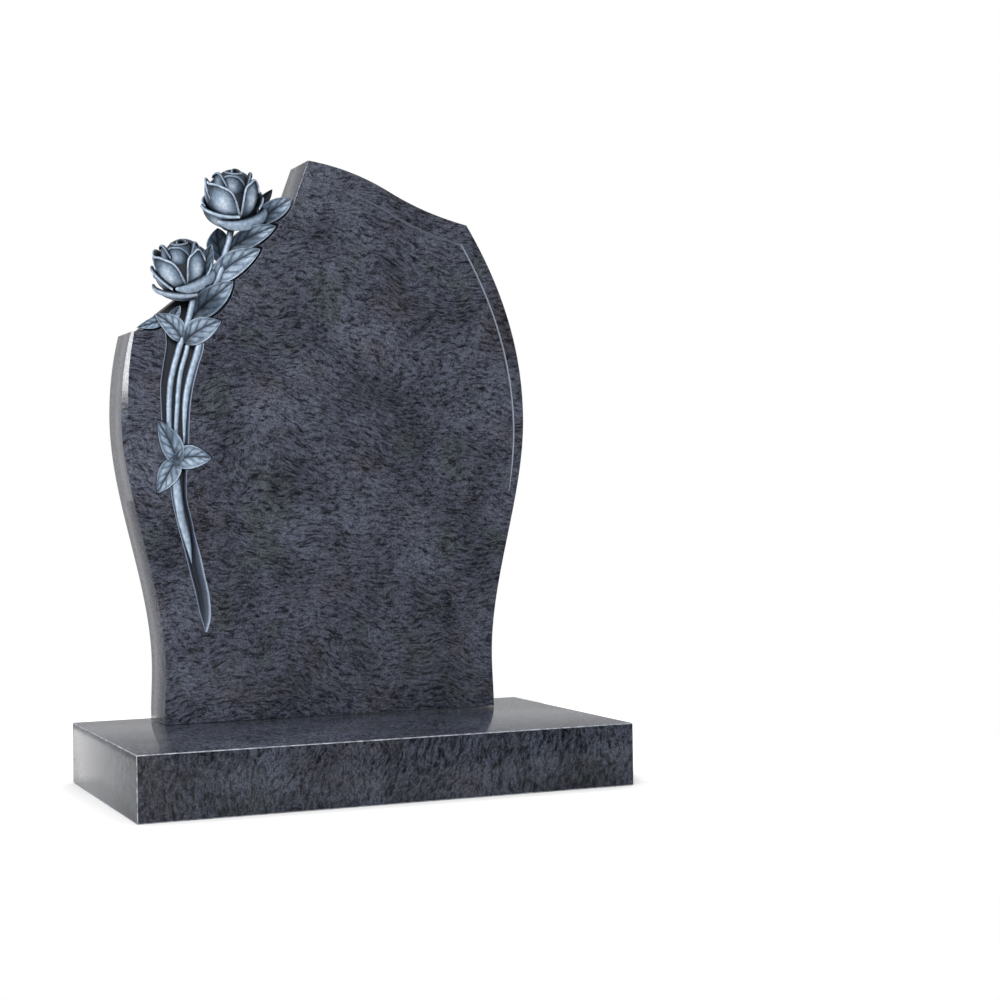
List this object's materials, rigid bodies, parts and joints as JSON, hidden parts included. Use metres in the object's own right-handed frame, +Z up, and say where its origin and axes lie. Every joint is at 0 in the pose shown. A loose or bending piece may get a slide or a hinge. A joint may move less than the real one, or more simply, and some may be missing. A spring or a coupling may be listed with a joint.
{
  "type": "upright headstone",
  "caption": "Upright granite headstone: an ogee-topped tablet with roses, leaves and stems carved along its left edge, standing on a rectangular base.",
  "frame": {"origin": "middle of the base's underside, on the surface the headstone stands on", "axes": "+Z up, +X to the right along the face as one reads it, -Y out of the face"},
  "size_m": [0.61, 0.356, 0.7858],
  "materials": {
    "base_granite": null,
    "tablet_granite": "polished dark blue-grey granite with black flow streaks; the carved roses, leaves and stems are left pale silver-blue and unpolished"
  },
  "bodies": {
    "root": {"base": "base_granite", "tablet": "tablet_granite"}
  },
  "joints": []
}
